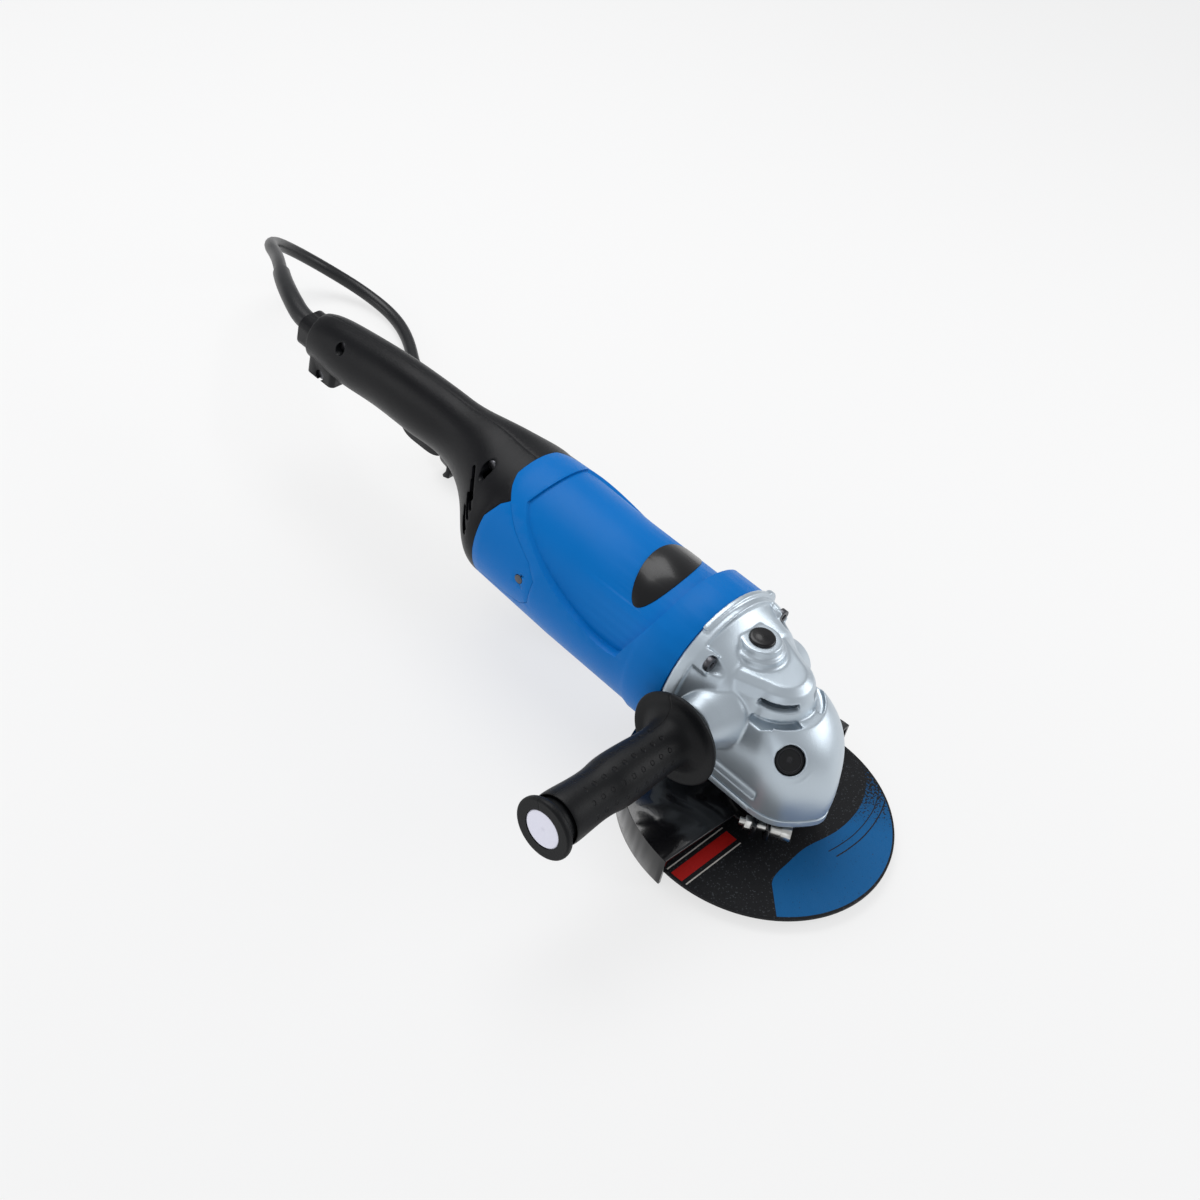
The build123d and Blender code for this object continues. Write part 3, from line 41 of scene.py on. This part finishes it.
FLOOR_Z = -0.009          # underside of the flange nut
LOCK_DIR = Vector((0.36, -0.60, 0.714)).normalized()
LOCK_FACE = Vector((0.0173, -0.0220, 0.0766))

# ---- camera, floor and light -------------------------------------------------------------

cam_x = Vector((0.715, 0.673, 0.190)).normalized()
cam_back = Vector((0.403, -0.619, 0.674)).normalized()
cam_y = cam_back.cross(cam_x).normalized()
cam_x = cam_y.cross(cam_back).normalized()
cam = bpy.data.objects.new("camera", bpy.data.cameras.new("camera"))
bpy.context.scene.collection.objects.link(cam)
cam.matrix_world = Matrix(((cam_x.x, cam_y.x, cam_back.x, 0.3783),
                           (cam_x.y, cam_y.y, cam_back.y, -0.8292),
                           (cam_x.z, cam_y.z, cam_back.z, 0.9619),
                           (0, 0, 0, 1)))
cam.data.sensor_width = 36
cam.data.lens = 60.68
cam.data.clip_start = 0.01
bpy.context.scene.camera = cam


def lamp(name, location, target, size, power, colour=(1, 1, 1)):
    light = bpy.data.lights.new(name, "AREA")
    light.shape = "RECTANGLE"
    light.size, light.size_y = size
    light.energy = power
    light.color = colour
    obj = bpy.data.objects.new(name, light)
    bpy.context.scene.collection.objects.link(obj)
    obj.location = location
    obj.rotation_euler = (Vector(target) - Vector(location)).to_track_quat("-Z", "Y").to_euler()
    return obj


middle = (-0.2, 0, 0.06)
lamp("key", (-0.75, 0.25, 1.25), middle, (1.1, 0.8), 11.0)
lamp("fill", (0.9, -1.3, 0.75), middle, (1.2, 1.0), 3.0, (0.95, 0.97, 1.0))
lamp("rim", (0.75, 1.0, 0.7), middle, (0.9, 0.6), 6.0)
lamp("low", (-0.9, -0.9, 0.35), (-0.25, 0, 0.05), (0.7, 0.5), 2.0)

world = bpy.data.worlds.new("world")
bpy.context.scene.world = world
world.use_nodes = True
world.node_tree.nodes["Background"].inputs["Color"].default_value = (0.97, 0.98, 1.0, 1)
world.node_tree.nodes["Background"].inputs["Strength"].default_value = 0.46
bpy.context.scene.view_settings.view_transform = "Standard"

bpy.ops.mesh.primitive_plane_add(size=8, location=(0, 0, FLOOR_Z))
floor = bpy.context.object
floor.name = "floor"

# ---- materials ---------------------------------------------------------------------------


class Graph:
    """Short names for building a node tree."""

    def __init__(self, tree):
        self.tree = tree

    def add(self, kind, **values):
        node = self.tree.nodes.new(kind)
        for key, value in values.items():
            if key.startswith("in_"):
                socket = node.inputs[key[3:].replace("_", " ")]
                if hasattr(value, "is_output"):
                    self.tree.links.new(value, socket)
                else:
                    socket.default_value = value
            else:
                setattr(node, key, value)
        return node

    def math(self, operation, a, b=0.0, c=0.0, clamp=False):
        node = self.tree.nodes.new("ShaderNodeMath")
        node.operation = operation
        node.use_clamp = clamp
        for socket, value in zip(node.inputs, (a, b, c)):
            if hasattr(value, "is_output"):
                self.tree.links.new(value, socket)
            else:
                socket.default_value = value
        return node.outputs[0]

    def mix(self, factor, a, b, blend="MIX"):
        node = self.tree.nodes.new("ShaderNodeMix")
        node.data_type = "RGBA"
        node.blend_type = blend
        for socket, value in ((node.inputs["Factor"], factor), (node.inputs[6], a), (node.inputs[7], b)):
            if hasattr(value, "is_output"):
                self.tree.links.new(value, socket)
            else:
                socket.default_value = value
        return node.outputs[2]

    def ramp(self, value, low, high):
        node = self.add("ShaderNodeMapRange", in_Value=value)
        node.inputs["From Min"].default_value = low
        node.inputs["From Max"].default_value = high
        return node.outputs["Result"]

    def noise(self, vector, scale, detail=3.0):
        node = self.add("ShaderNodeTexNoise", in_Vector=vector, in_Scale=scale, in_Detail=detail)
        return node.outputs["Fac"]


def group(name, inputs, outputs, build):
    tree = bpy.data.node_groups.new(name, "ShaderNodeTree")
    for label, kind, value in inputs:
        socket = tree.interface.new_socket(label, in_out="INPUT", socket_type=kind)
        if value is not None:
            socket.default_value = value
    for label, kind in outputs:
        tree.interface.new_socket(label, in_out="OUTPUT", socket_type=kind)
    g = Graph(tree)
    source = tree.nodes.new("NodeGroupInput")
    sink = tree.nodes.new("NodeGroupOutput")
    for label, value in build(g, source.outputs).items():
        tree.links.new(value, sink.inputs[label])
    return tree


def build_surface(g, inp):
    """Grain as a normal, and slow changes of colour and gloss."""
    place = g.add("ShaderNodeTexCoord").outputs["Object"]
    grain = g.add("ShaderNodeTexNoise", in_Vector=place, in_Scale=inp["Grain scale"], in_Detail=4.0)
    slow = g.add("ShaderNodeTexNoise", in_Vector=place, in_Scale=22.0, in_Detail=5.0)
    bump = g.add("ShaderNodeBump", in_Height=grain.outputs["Fac"], in_Strength=inp["Grain depth"],
                 in_Distance=0.0004)
    dark = g.math("MULTIPLY_ADD", slow.outputs["Fac"], inp["Mottle"], 1.0)
    dark = g.math("SUBTRACT", dark, g.math("MULTIPLY", inp["Mottle"], 0.5))
    uneven = g.math("MULTIPLY", g.math("SUBTRACT", slow.outputs["Fac"], 0.5), 0.25)
    gloss = g.math("ADD", inp["Roughness"], uneven)
    scaled = g.add("ShaderNodeVectorMath", operation="SCALE", in_Vector=inp["Colour"], in_Scale=dark)
    return {"Colour": scaled.outputs["Vector"], "Roughness": gloss, "Normal": bump.outputs["Normal"]}


SURFACE = group("surface",
                [("Colour", "NodeSocketColor", (0.5, 0.5, 0.5, 1)), ("Roughness", "NodeSocketFloat", 0.4),
                 ("Grain scale", "NodeSocketFloat", 2500.0), ("Grain depth", "NodeSocketFloat", 0.2),
                 ("Mottle", "NodeSocketFloat", 0.2)],
                [("Colour", "NodeSocketColor"), ("Roughness", "NodeSocketFloat"),
                 ("Normal", "NodeSocketVector")], build_surface)


def material(name, colour, rough, metal=0.0, grain=2500.0, depth=0.2, mottle=0.15, coat=0.0, paint=None,
             relief=None, sheen=0.5, glow=0.0):
    """A surface from the shared group.

    paint(g, colour socket) may return another colour, and relief(g) a height for a second bump.
    """
    mat = bpy.data.materials.new(name)
    mat.use_nodes = True
    g = Graph(mat.node_tree)
    shader = mat.node_tree.nodes["Principled BSDF"]
    look = g.add("ShaderNodeGroup", node_tree=SURFACE)
    look.inputs["Colour"].default_value = (*colour, 1)
    look.inputs["Roughness"].default_value = rough
    look.inputs["Grain scale"].default_value = grain
    look.inputs["Grain depth"].default_value = depth
    look.inputs["Mottle"].default_value = mottle
    base = look.outputs["Colour"]
    if paint:
        base = paint(g, base)
    mat.node_tree.links.new(base, shader.inputs["Base Color"])
    mat.node_tree.links.new(look.outputs["Roughness"], shader.inputs["Roughness"])
    normal = look.outputs["Normal"]
    if relief:
        bump = g.add("ShaderNodeBump", in_Height=relief(g), in_Normal=normal, in_Strength=0.8,
                     in_Distance=0.0006)
        normal = bump.outputs["Normal"]
    mat.node_tree.links.new(normal, shader.inputs["Normal"])
    shader.inputs["Specular IOR Level"].default_value = sheen
    if glow:
        shader.inputs["Emission Color"].default_value = (1, 1, 1, 1)
        shader.inputs["Emission Strength"].default_value = glow
    shader.inputs["Metallic"].default_value = metal
    shader.inputs["Coat Weight"].default_value = coat
    shader.inputs["Coat Roughness"].default_value = 0.08
    return mat


def disc_print(g, base):
    """Grit specks painted pale as glints; a blue printed field in front, a red label with pale lines at the
    side.
    """
    place = g.add("ShaderNodeTexCoord").outputs["Object"]
    xyz = g.add("ShaderNodeSeparateXYZ", in_Vector=place)
    x, y, z = xyz.outputs
    radius = g.math("SQRT", g.math("ADD", g.math("MULTIPLY", x, x), g.math("MULTIPLY", y, y)))
    angle = g.math("MULTIPLY", g.math("ARCTAN2", y, x), 180 / math.pi)
    # inner outline of the field, as a curve of radius over angle
    curve = g.add("ShaderNodeFloatCurve")
    points = [(-46, 74), (-43.5, 63), (-42, 58.5), (-39, 54.5), (-35, 51), (-30, 48), (-20, 43.5),
              (-8, 41), (4, 41.5), (16, 45), (30, 52), (42, 60), (54, 70), (66, 80), (80, 90)]
    line = curve.mapping.curves[0]
    low, high = -60.0, 100.0
    line.points[0].location = (0, 0.95)
    line.points[1].location = (1, 0.95)
    for a, r in points:
        line.points.new((a - low) / (high - low), r / 100)
    curve.mapping.update()
    g.tree.links.new(g.ramp(angle, low, high), curve.inputs["Value"])
    inner = g.math("MULTIPLY", curve.outputs["Value"], 0.1)
    field = g.math("GREATER_THAN", radius, inner)
    field = g.math("MULTIPLY", field, g.math("LESS_THAN", radius, DISC_R - 0.0015))
    field = g.math("MULTIPLY", field, g.math("GREATER_THAN", angle, -43.5))
    field = g.math("MULTIPLY", field, g.math("LESS_THAN", angle, 79.0))
    fade = g.ramp(angle, 36.0, 74.0)
    # two thin dark curves across the field
    for at, offset in ((0.0105, 0.0004), (0.0165, 0.0005)):
        away = g.math("ABSOLUTE", g.math("SUBTRACT", g.math("SUBTRACT", radius, inner), at))
        wide = g.math("GREATER_THAN", away, offset)
        keep = g.math("MAXIMUM", wide, g.math("LESS_THAN", angle, 8.0))
        field = g.math("MULTIPLY", field, keep)
    # grit specks, painted paler than the disc as glints
    grit = g.add("ShaderNodeTexVoronoi", in_Vector=place, in_Scale=1500.0)
    grit_glint = g.math("LESS_THAN", g.add("ShaderNodeSeparateColor", in_Color=grit.outputs["Color"]).outputs[0],
                   0.05)
    weave = g.noise(place, 700.0, 2.0)
    rubbed = g.math("GREATER_THAN", g.math("ADD", weave, g.math("MULTIPLY", fade, -0.32)), 0.30)
    field = g.math("MULTIPLY", field, rubbed)
    blue = g.mix(fade, (0.0, 0.10, 0.29, 1), (0.0, 0.04, 0.11, 1))
    colour = g.mix(g.math("MULTIPLY", grit_glint, 0.5), base, (0.07, 0.08, 0.09, 1))
    colour = g.mix(field, colour, blue)
    # label: a strip that runs out along -Y
    across = g.math("ABSOLUTE", g.math("SUBTRACT", x, 0.0036))
    along = g.math("MULTIPLY", g.math("LESS_THAN", y, -0.034), g.math("LESS_THAN", radius, DISC_R - 0.0015))
    red = g.math("MULTIPLY", g.math("LESS_THAN", across, 0.0044), along)
    rails = g.math("MULTIPLY", g.math("LESS_THAN", g.math("ABSOLUTE", g.math("SUBTRACT", across, 0.0078)),
                                      0.00045), along)
    colour = g.mix(red, colour, (0.42, 0.008, 0.006, 1))
    colour = g.mix(rails, colour, (0.55, 0.52, 0.48, 1))
    # only the upper face is printed
    top = g.math("GREATER_THAN", z, -0.0004)
    return g.mix(top, base, colour)


def brushed_lines(g, base):
    """Fine brushed lines along the surface."""
    place = g.add("ShaderNodeTexCoord").outputs["Object"]
    stretched = g.add("ShaderNodeMapping", in_Vector=place, in_Scale=(30.0, 900.0, 900.0))
    lines = g.noise(stretched.outputs["Vector"], 1.0, 2.0)
    return g.mix(g.math("MULTIPLY", lines, 0.35), base, (0.12, 0.12, 0.12, 1))


def button_dimple(g):
    """A small hollow at the middle of the lock button and a groove near its rim, as a mask."""
    place = g.add("ShaderNodeTexCoord").outputs["Object"]
    offset = g.add("ShaderNodeVectorMath", operation="SUBTRACT", in_Vector=place)
    offset.inputs[1].default_value = LOCK_FACE
    cross = g.add("ShaderNodeVectorMath", operation="CROSS_PRODUCT", in_Vector=offset.outputs["Vector"])
    cross.inputs[1].default_value = LOCK_DIR
    away = g.add("ShaderNodeVectorMath", operation="LENGTH", in_Vector=cross.outputs["Vector"])
    away = away.outputs["Value"]
    rim = g.ramp(g.math("ABSOLUTE", g.math("SUBTRACT", away, 0.0072)), 0.0005, 0.0002)
    return g.math("MAXIMUM", g.ramp(away, 0.0024, 0.0014), rim)


def button_height(g):
    """The same marks as a height."""
    return g.math("SUBTRACT", 1.0, button_dimple(g))


def button_painted_highlight(g, base):
    """Painted highlight: a little paler in the hollow and along the rim."""
    return g.mix(g.math("MULTIPLY", button_dimple(g), 0.6), base, (0.05, 0.05, 0.055, 1))


def grip_dimples(g):
    """Rows of small hollows round the side handle and along it, as a mask."""
    place = g.add("ShaderNodeTexCoord").outputs["Object"]
    x, y, z = g.add("ShaderNodeSeparateXYZ", in_Vector=place).outputs
    turn = g.math("ARCTAN2", g.math("SUBTRACT", z, MOTOR_H), g.math("SUBTRACT", x, SIDE_HANDLE_X))
    around = g.math("SUBTRACT", g.math("FRACT", g.math("MULTIPLY", turn, 11 / math.pi / 2)), 0.5)
    along = g.math("SUBTRACT", g.math("FRACT", g.math("MULTIPLY", y, 1 / 0.0085)), 0.5)
    away = g.math("SQRT", g.math("ADD", g.math("MULTIPLY", around, around), g.math("MULTIPLY", along, along)))
    dot = g.ramp(away, 0.20, 0.12)
    seam = g.ramp(g.math("ABSOLUTE", g.math("SUBTRACT", turn, 1.95)), 0.03, 0.015)
    middle_part = g.math("MULTIPLY", g.math("GREATER_THAN", y, -0.158), g.math("LESS_THAN", y, -0.085))
    return g.math("MAXIMUM", g.math("MULTIPLY", dot, middle_part), seam)


def grip_height(g):
    """The same marks as a height."""
    return g.math("SUBTRACT", 1.0, grip_dimples(g))


def grip_painted_shade(g, base):
    """Painted shade: darker in the hollows and along the seam."""
    return g.mix(g.math("MULTIPLY", grip_dimples(g), 0.7), base, (0.003, 0.003, 0.004, 1))


M = {
    "cast": material("cast_aluminium", (0.52, 0.59, 0.65), 0.38, 0.72, grain=900.0, depth=0.16, mottle=0.22),
    "blue": material("blue_plastic", (0.0, 0.150, 0.50), 0.38, grain=2600.0, depth=0.22, mottle=0.08,
                     sheen=0.10),
    "black": material("black_plastic", (0.004, 0.0042, 0.0055), 0.38, grain=2200.0, depth=0.25, mottle=0.3,
                      sheen=0.18),
    # the lock button carries a painted highlight in its hollow and along its rim
    "button": material("button_plastic", (0.0055, 0.0058, 0.007), 0.35, grain=2200.0, depth=0.15, mottle=0.2,
                       sheen=0.3, paint=button_painted_highlight, relief=button_height),
    "gloss": material("gloss_black", (0.004, 0.004, 0.005), 0.3, grain=300.0, depth=0.02, coat=0.1,
                      sheen=0.3),
    # the grip carries painted shade in its hollows and along its seam groove
    "rubber": material("grip_rubber", (0.0045, 0.005, 0.006), 0.48, grain=900.0, depth=0.3, mottle=0.4,
                       sheen=0.18, paint=grip_painted_shade, relief=grip_height),
    "pale": material("pale_plastic", (0.80, 0.80, 0.92), 0.3, grain=1500.0, depth=0.08, coat=0.3),
    "guard": material("guard_paint", (0.004, 0.004, 0.005), 0.22, 0.0, grain=700.0, depth=0.08, coat=0.5,
                      sheen=0.4),
    "screw": material("dark_screw", (0.10, 0.10, 0.11), 0.36, 1.0, grain=1800.0, depth=0.1, mottle=0.3),
    "zinc": material("zinc", (0.62, 0.62, 0.6), 0.28, 1.0, grain=1800.0, depth=0.08, mottle=0.3),
    "steel": material("steel", (0.42, 0.42, 0.43), 0.3, 1.0, grain=1200.0, depth=0.1, paint=brushed_lines),
    "brass": material("brass", (0.65, 0.46, 0.18), 0.3, 1.0, grain=1500.0, depth=0.06, mottle=0.3),
    "copper": material("copper", (0.62, 0.28, 0.15), 0.32, 1.0, grain=1500.0, depth=0.1, mottle=0.3),
    "winding": material("winding", (0.33, 0.09, 0.03), 0.35, 0.3, grain=2200.0, depth=0.7, mottle=0.5),
    "sheets": material("laminations", (0.2, 0.2, 0.21), 0.45, 0.8, grain=2400.0, depth=0.3,
                       paint=brushed_lines),
    "carbon": material("carbon", (0.02, 0.02, 0.02), 0.6, grain=1800.0, depth=0.5, mottle=0.6),
    "disc": material("abrasive", (0.005, 0.0055, 0.007), 0.6, grain=1500.0, depth=0.7, mottle=0.6,
                     paint=disc_print, sheen=0.2),
    "lamp": material("lamp", (1.0, 0.26, 0.01), 0.25, grain=600.0, depth=0.02, coat=0.5),
    "cord": material("cord_jacket", (0.007, 0.0075, 0.009), 0.36, grain=1600.0, depth=0.15, mottle=0.3,
                     sheen=0.4),
    "floor": material("floor", (0.22, 0.22, 0.22), 0.7, grain=300.0, depth=0.02, mottle=0.01,
                      sheen=0.1, glow=0.70),
}

USES = {
    "cast": ["gear_housing", "gearbox_cover"],
    "blue": ["motor_housing", "brush_cover_right", "brush_cover_left"],
    "black": ["handle_shell_right", "handle_shell_left", "trigger", "lock_off_tab", "cooling_fan",
              "air_baffle", "switch_body", "cable_clamp", "plug_body", "cord_tie",
              "spindle_seal"],
    "button": ["lock_button"],
    "gloss": ["badge", "top_plug"],
    "rubber": ["side_handle_grip"],
    "pale": ["side_handle_cap"],
    "guard": ["guard", "guard_band"],
    "zinc": ["gearbox_cover_screws", "clamp_screw", "clamp_nut"],
    "screw": ["head_screws", "handle_screws", "brush_cover_screws"],
    "steel": ["spindle", "lower_spindle_bearing", "inner_flange", "flange_nut", "bevel_gear",
              "bevel_pinion", "armature_shaft", "front_motor_bearing", "rear_motor_bearing",
              "pinion_nut", "lock_pin", "lock_spring", "trigger_pin", "trigger_spring",
              "brush_springs", "side_handle_stud"],
    "sheets": ["armature_core", "stator_core"],
    "winding": ["armature_windings", "field_coils"],
    "copper": ["commutator"],
    "carbon": ["carbon_brushes"],
    "brass": ["brush_holders", "plug_pins", "upper_spindle_bush"],
    "disc": ["cutting_disc"],
    "lamp": ["power_lamp"],
    "cord": ["cord_tube", "cord_tail", "cord_coil", "cable_sleeve"],
}
for key, names in USES.items():
    for name in names:
        NODES[name].data.materials.clear()
        NODES[name].data.materials.append(M[key])
floor.data.materials.append(M["floor"])

# ---- softer edges on the CAD nodes --------------------------------------------------------


def soften(name, width, segments=2, angle=32):
    node = NODES[name]
    weld = node.modifiers.new("weld", "WELD")
    weld.merge_threshold = 0.00001
    bevel = node.modifiers.new("bevel", "BEVEL")
    bevel.width = width
    bevel.segments = segments
    bevel.limit_method = "ANGLE"
    bevel.angle_limit = math.radians(angle)
    bevel.harden_normals = True
    for polygon in node.data.polygons:
        polygon.use_smooth = True


for name, width in (("handle_shell_right", 0.0006), ("handle_shell_left", 0.0006),
                    ("motor_housing", 0.0007), ("brush_cover_right", 0.0004), ("brush_cover_left", 0.0004),
                    ("trigger", 0.001), ("lock_off_tab", 0.0007), ("guard", 0.0005), ("guard_band", 0.0005),
                    ("clamp_screw", 0.0004), ("clamp_nut", 0.0004), ("plug_body", 0.001),
                    ("side_handle_cap", 0.0006), ("cutting_disc", 0.0003), ("gearbox_cover", 0.0006),
                    ("badge", 0.0003), ("head_screws", 0.0003), ("brush_cover_screws", 0.0002),
                    ("handle_screws", 0.0003), ("top_plug", 0.0002), ("cord_tie", 0.0003),
                    ("cable_clamp", 0.0006)):
    soften(name, width)

# the casting's edges run into one another
head = NODES["gear_housing"]
remesh = head.modifiers.new("remesh", "REMESH")
remesh.mode = "VOXEL"
remesh.voxel_size = 0.00075
remesh.use_smooth_shade = True
smooth = head.modifiers.new("smooth", "SMOOTH")
smooth.factor = 0.5
smooth.iterations = 12

# ---- cord --------------------------------------------------------------------------------

CORD_D = 0.010
EXIT = (-0.458, 0, 0.096)
LYING = -0.0038
ROUTE = [EXIT, (-0.468, 0, 0.096), (-0.489, 0.008, 0.0965), (-0.511, 0.020, 0.093), (-0.532, 0.035, 0.087),
         (-0.553, 0.051, 0.078), (-0.580, 0.067, 0.067), (-0.597, 0.090, 0.050), (-0.599, 0.116, 0.030),
         (-0.586, 0.140, 0.012), (-0.560, 0.156, 0.001), (-0.528, 0.160, LYING), (-0.498, 0.149, LYING),
         (-0.467, 0.127, LYING), (-0.430, 0.112, LYING), (-0.385, 0.107, LYING), (-0.335, 0.108, LYING),
         (-0.290, 0.114, LYING), (-0.250, 0.1255, LYING)]
COIL = Vector((-0.205, 0.072, 0))
TURNS = (0.059, 0.049)


def nurbs(name, points, radius, mat, radii=None):
    data = bpy.data.curves.new(name, "CURVE")
    data.dimensions = "3D"
    data.bevel_depth = radius
    data.bevel_resolution = 5
    data.resolution_u = 8
    data.use_fill_caps = True
    spline = data.splines.new("NURBS")
    spline.points.add(len(points) - 1)
    for index, point in enumerate(points):
        spline.points[index].co = (*point, 1)
        spline.points[index].radius = radii[index] if radii else 1.0
    spline.order_u = 3
    spline.use_endpoint_u = True
    data.materials.append(mat)
    obj = bpy.data.objects.new(name, data)
    bpy.context.scene.collection.objects.link(obj)
    return obj


# two turns inwards on the floor, then two outwards on top of them, clockwise seen from above
coil_points = []
STEPS = 18
START, LAST = 94.0, 230.0
total_angle = 4 * 360 + (START - LAST)
count = int(total_angle / 360 * STEPS)
for step in range(count + 1):
    share = step / count
    turned = share * total_angle
    layer_in = min(max(turned / (total_angle / 2), 0), 1)
    layer_out = min(max((turned - total_angle / 2) / (total_angle / 2), 0), 1)
    r = TURNS[0] + (TURNS[1] - TURNS[0]) * (min(layer_in * 1.35, 1) - min(max(layer_out * 1.35 - 0.35, 0), 1))
    lift = min(max((turned / total_angle - 0.44) / 0.12, 0), 1)
    lift = lift * lift * (3 - 2 * lift)
    a = math.radians(START - turned)
    coil_points.append((COIL.x + r * math.cos(a), COIL.y + r * math.sin(a), LYING + CORD_D * 1.02 * lift))
TAIL = [(-0.261, 0.042, LYING + 0.0106), (-0.281, 0.055, 0.0082), (-0.302, 0.0655, 0.0092),
        (-0.324, 0.070, 0.0092)]
cord = nurbs("cord", ROUTE + coil_points + TAIL, CORD_D / 2, M["cord"])
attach(cord, "tool")
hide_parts("cord_tube", "cord_coil", "cord_tail")
